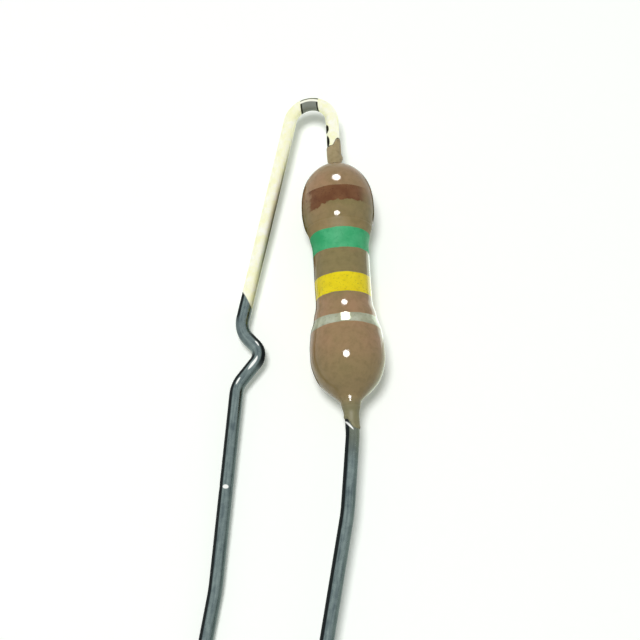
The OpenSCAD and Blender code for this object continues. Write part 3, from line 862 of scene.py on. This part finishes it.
brown = band_paint("brown marking enamel", "#6a3f1f", "#55331a", "#7c5230", worn=BROWN)
green = band_paint("green marking enamel", "#2ea468", "#24935a", "#4cb47c", roughness=0.6)
yellow = band_paint("yellow marking enamel", "#e8d100", "#b0a00a", "#f3df0e")
silver = band_paint("silver marking enamel", "#a4a78c", "#8b8f76", "#c0c6b0", roughness=0.16,
                    metallic=0.25)
ring_tree = band_tree()
bpy.context.view_layer.update()
# Each ring as the roller laid it: paint, middle and width, how far the ring is moved along and
# made wider, how much it flares, how much its edges wobble, and the seed of that
rings = []
for number, (colour, paint, (middle, width), moved, wider, flare, wobble, seed) in enumerate((
        ("brown", brown, BROWN, -0.16, 0.4, 0.0, 0.04, 3.0),
        ("green", green, GREEN, 0.04, 0.0, 0.0, 0.03, 11.0),
        ("yellow", yellow, YELLOW, 0.01, -0.03, 0.0, 0.025, 19.0),
        ("silver", silver, SILVER, -0.04, -0.14, 0.08, 0.03, 27.0)), start=1):
    name = "band_" + colour
    ring = from_nodes(name, bpy.data.meshes.new(name + "_base"), ring_tree, {
        "Skin": body, "Axis point": (AXIS_X * MM, MIDDLE_Y * MM, AXIS_Z * MM),
        "Middle": (middle + moved) * MM, "Width": (width + wider) * MM,
        "Edge wobble": wobble * MM, "Flare": flare * MM, "Seed": seed, "Paint": paint})
    finish_piece(ring, "paint_" + colour, f"band_{number}_{colour}")
    rings.append(ring)

lead_tree = wire_tree()
long_lead, short_lead = lead_programs()
nick_at = 24.55
# The long lead's painted glints: one on the nick and three round the kink
part_painted_bright = tinned_wire("tinned wire, part burnished", 2 * ROLL, True, (
    (0.012, nick_at + 0.02, 0.13, 0.09, 0.0), (-0.084, 17.97, 0.035, 0.13, 0.0),
    (0.025, 18.87, 0.06, 0.36, 0.0), (0.08, 19.88, 0.038, 0.18, 0.0)))
# The short lead's painted glint, just below the lacquer's end
all_dull = tinned_wire("tinned wire, dull", 0.0, False, ((0.135, 2.38, 0.17, 0.065, 1.2),))
for name, (start, program), node, metal, nick_depth, seed in (
        ("wire_long", long_lead, "lead_hairpin", part_painted_bright, 0.01, 5.0),
        ("wire_short", short_lead, "lead_straight", all_dull, 0.0, 8.0)):
    wire = from_nodes(name, wire_line(name, start, program), lead_tree, {
        "Nick at": nick_at * MM, "Nick depth": nick_depth * MM, "Seed": seed, "Metal": metal})
    wire.data.set_sharp_from_angle(angle=radians(40))
    finish_piece(wire, "tinned_wire", node)

plating = plated_steel()
for node, material in (("ceramic_core", fired_ceramic()), ("resistive_film", carbon_film()),
                       ("end_cap_hairpin_side", plating), ("end_cap_straight_side", plating)):
    frame["nodes"][node].material_slots[0].material = material

# ---- Floor, light and camera ----

FLOOR_GLOW = 0.22      # what the white floor adds where it is seen directly or mirrored
SKY_LEVEL = 0.22       # how bright the white surroundings are for matt surfaces
CARD_HEIGHT = 0.03     # the reflection cards lie close over the floor
AIM = (AXIS_X, MIDDLE_Y, 1.0)              # the point that the lamps face
CAMERA_AT = (-2.214, -21.714, 54.885)      # from the middle of the body, and up from the floor
CAMERA_AZIMUTH, CAMERA_ELEVATION = -3.2, 69.5


def card(name, centre, width, depth, material):
    """A flat rectangle in the studio, given in millimetres."""
    corners = [(x * width / 2 * MM, y * depth / 2 * MM, 0)
               for x, y in ((-1, -1), (1, -1), (1, 1), (-1, 1))]
    mesh = bpy.data.meshes.new(name)
    mesh.from_pydata(corners, [], [(0, 1, 2, 3)])
    mesh.materials.append(material)
    flat = put(name, mesh)
    flat.location = Vector(centre) * MM
    return flat


def seen_directly(tree):
    """1 for rays that look at a surface: from the camera, off a mirror or through glass."""
    path = add(tree, "ShaderNodeLightPath").outputs
    some = add(tree, "ShaderNodeMath", "MAXIMUM",
               {0: path["Is Camera Ray"], 1: path["Is Glossy Ray"]})
    return add(tree, "ShaderNodeMath", "MAXIMUM", {0: some, 1: path["Is Transmission Ray"]})


def white_paper():
    """Matt white paper: it takes the shadows, and reads as white where the light falls full."""
    material, tree = new_material("white paper")
    place = add(tree, "ShaderNodeTexCoord").outputs["Object"]
    fibre = add(tree, "ShaderNodeTexNoise", None, {"Vector": place, "Scale": 1 / (0.3 * MM)})
    colour = layered(tree, "#f2f4f1", (fibre, "#f5f6f4"))
    paper = add(tree, "ShaderNodeBsdfDiffuse", None, {"Color": colour})
    glow = add(tree, "ShaderNodeMath", "MULTIPLY", {0: seen_directly(tree), 1: FLOOR_GLOW})
    white = add(tree, "ShaderNodeEmission", None, {"Color": linear("#f0fff0"), "Strength": glow})
    both = add(tree, "ShaderNodeAddShader", None, {0: paper, 1: white})
    add(tree, "ShaderNodeOutputMaterial", None, {"Surface": both})
    return material


def reflection_card(name, low, high, hex_colour, level=1.0):
    """A card flat over the floor, from one corner to the other, that only shows mirrored in the
    gloss of the part's flanks."""
    material, tree = new_material(name)
    shade = add(tree, "ShaderNodeEmission", None, {"Color": linear(hex_colour), "Strength": level})
    add(tree, "ShaderNodeOutputMaterial", None, {"Surface": shade})
    (x0, y0), (x1, y1) = low, high
    centre = (AXIS_X + (x0 + x1) / 2, MIDDLE_Y + (y0 + y1) / 2, CARD_HEIGHT)
    flat = card(name, centre, x1 - x0, y1 - y0, material)
    flat.visible_camera = flat.visible_diffuse = flat.visible_shadow = False
    flat.visible_transmission = False


def lamp(name, centre, size, level, shape="DISK", lights=True, mirrored=True, only=()):
    """A soft lamp aimed at the part. Its level is the brightness of its face, where white paper
    in full light is 1. It can light matt surfaces, show in gloss, or both, and can be kept to
    some of the pieces."""
    data = bpy.data.lights.new(name, "AREA")
    data.shape = shape
    data.size, data.size_y = size[0] * MM, size[1] * MM
    face = data.size * data.size_y * (pi / 4 if shape in ("DISK", "ELLIPSE") else 1)
    data.energy = level * pi * face
    light = put(name, data)
    light.location = Vector(centre) * MM
    light.rotation_mode = "QUATERNION"
    light.rotation_quaternion = (Vector(AIM) - Vector(centre)).to_track_quat("-Z", "Y")
    light.visible_camera, light.visible_diffuse, light.visible_glossy = False, lights, mirrored
    if only:
        lit = bpy.data.collections.new(name + " reaches")
        for piece in only:
            lit.objects.link(piece)
        light.light_linking.receiver_collection = lit


scene = bpy.context.scene
card("floor", (0, 0, 0), 3000, 3000, white_paper())

scene.world = bpy.data.worlds.new("studio")
scene.world.use_nodes = True
sky = scene.world.node_tree
sky.nodes.clear()
strength = add(sky, "ShaderNodeMapRange", None, {0: seen_directly(sky), 3: SKY_LEVEL})
background = add(sky, "ShaderNodeBackground", None, {"Color": (1, 1, 1, 1), "Strength": strength})
add(sky, "ShaderNodeOutputWorld", None, {"Surface": background})

lamp("key lamp", (AXIS_X - 32, MIDDLE_Y - 6, 248), (74, 74), 32.0, mirrored=False)
lamp("overhead diffuser", (AXIS_X - 6.5, MIDDLE_Y - 6.6, 57.5), (19, 19), 40.0, lights=False,
     only=[body] + rings)
lamp("window", (AXIS_X, MIDDLE_Y + 165, 120), (70, 66), 40.0, "ELLIPSE", lights=False,
     only=[body] + rings)
reflection_card("left_flag", (-2.2, -4.6), (-0.95, 1.6), "#1a1a12")
reflection_card("left_far_flag", (-3.2, 1.6), (-0.95, 6.2), "#14140e")
reflection_card("right_far_flag", (0.8, 3.4), (3.0, 6.6), "#3a3c2a")
reflection_card("right_reflector", (0.95, -2.2), (5.0, 2.6), "#f4fff4", 2.6)
reflection_card("right_near_reflector", (0.95, -6.2), (5.0, -2.2), "#e4eedc", 1.7)

camera_data = bpy.data.cameras.new("camera")
camera_data.lens = 73.125
camera_data.sensor_width = 36
camera_data.clip_start = 1 * MM
camera_data.clip_end = 10
camera = put("camera", camera_data)
camera.location = (Vector((AXIS_X, MIDDLE_Y, 0)) + Vector(CAMERA_AT)) * MM
camera.rotation_euler = (radians(90 - CAMERA_ELEVATION), 0, radians(CAMERA_AZIMUTH))
scene.camera = camera

scene.view_settings.view_transform = "Standard"
